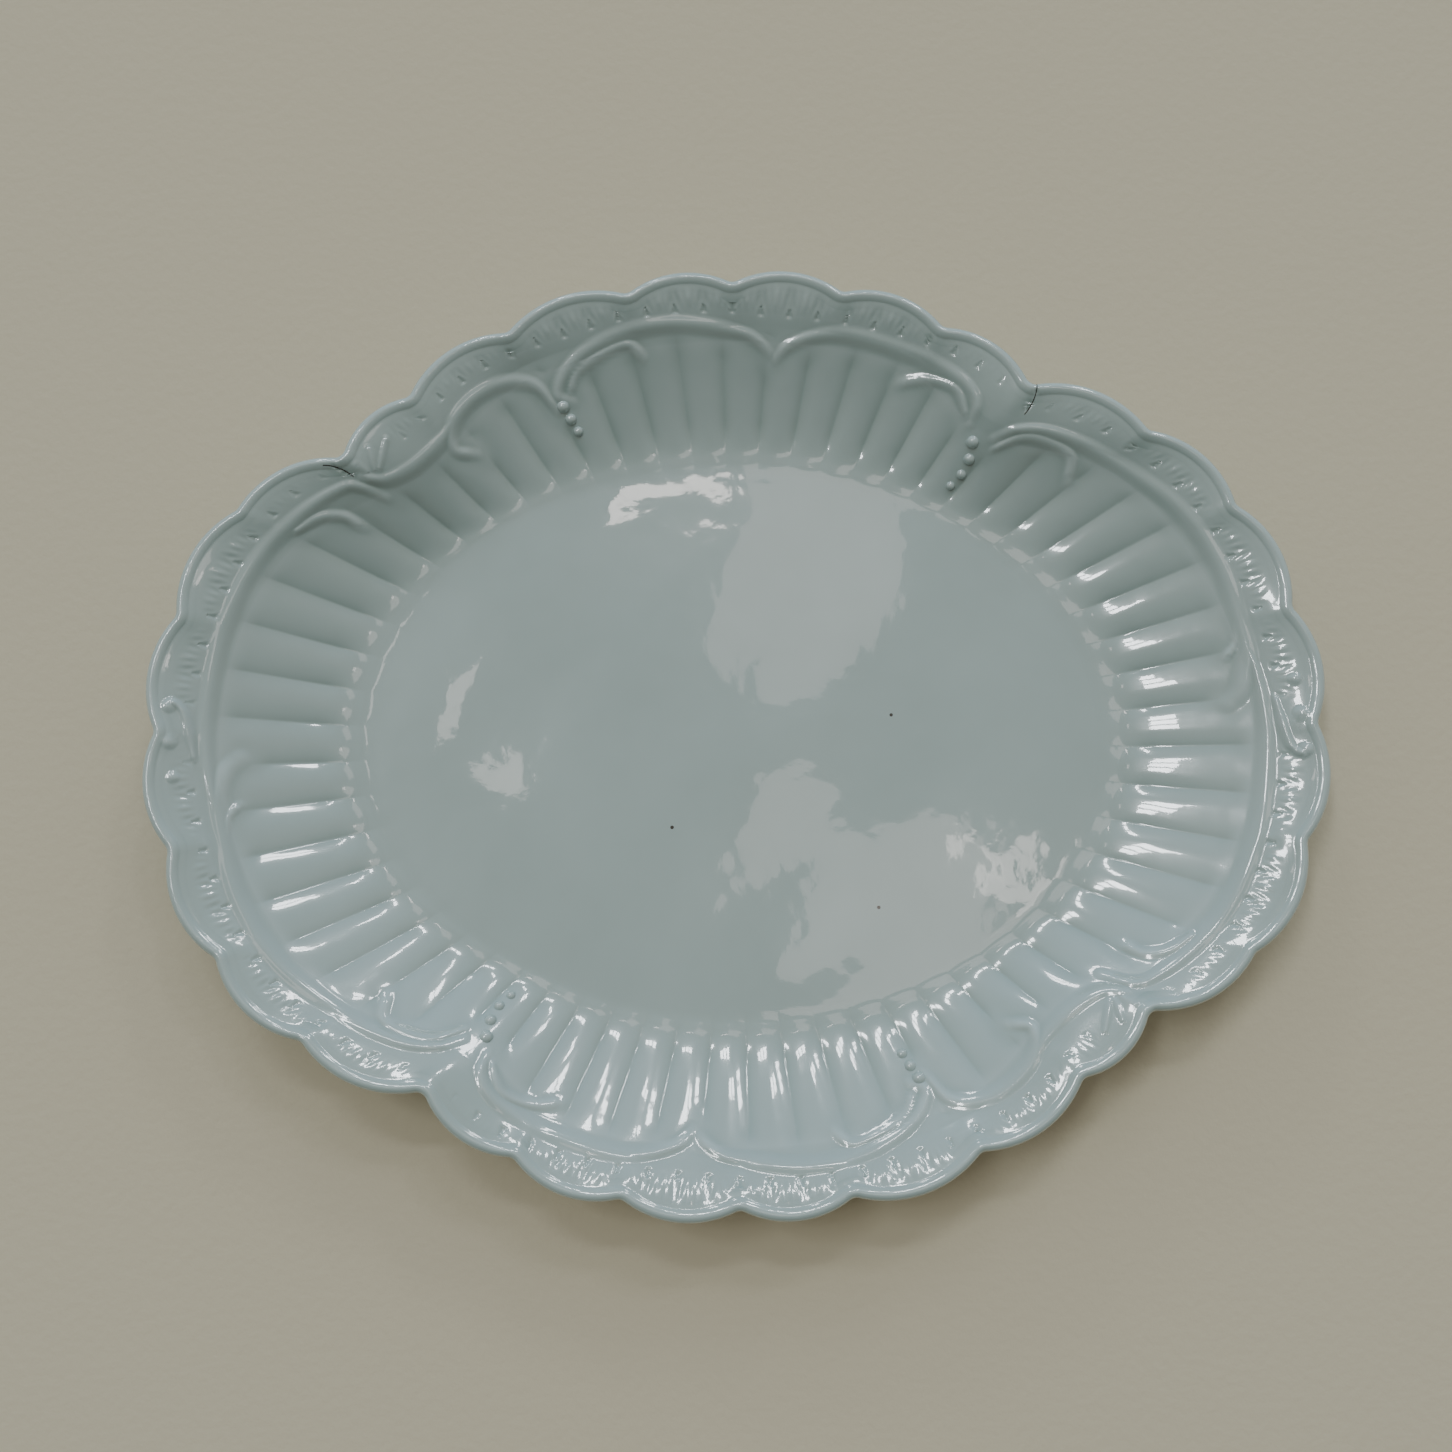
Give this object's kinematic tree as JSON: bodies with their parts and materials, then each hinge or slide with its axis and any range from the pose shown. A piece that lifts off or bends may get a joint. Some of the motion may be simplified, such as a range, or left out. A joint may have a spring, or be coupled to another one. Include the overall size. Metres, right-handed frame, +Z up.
{
  "type": "oval serving platter",
  "caption": "Oval white porcelain serving platter with a flat well, gadrooned wall, scroll moulding, ruffled rim and scalloped, notched lip, on an oval foot ring.",
  "frame": {"origin": "on the table, under the middle of the platter (centre of its box in plan)", "axes": "+Z up out of the well, +X along the platter's long axis, +Y across it"},
  "size_m": [0.34, 0.2748, 0.029],
  "materials": {
    "white_glaze": "clear glossy feldspathic glaze over white porcelain",
    "bare_porcelain": "unglazed, wiped and polished foot"
  },
  "bodies": {
    "root": {"well_floor": "white_glaze", "gadrooned_wall": "white_glaze", "scroll_moulding": "white_glaze", "ruffled_rim": "white_glaze", "rolled_lip": "white_glaze", "bead_drops": "white_glaze", "foot_ring": "bare_porcelain"}
  },
  "joints": []
}
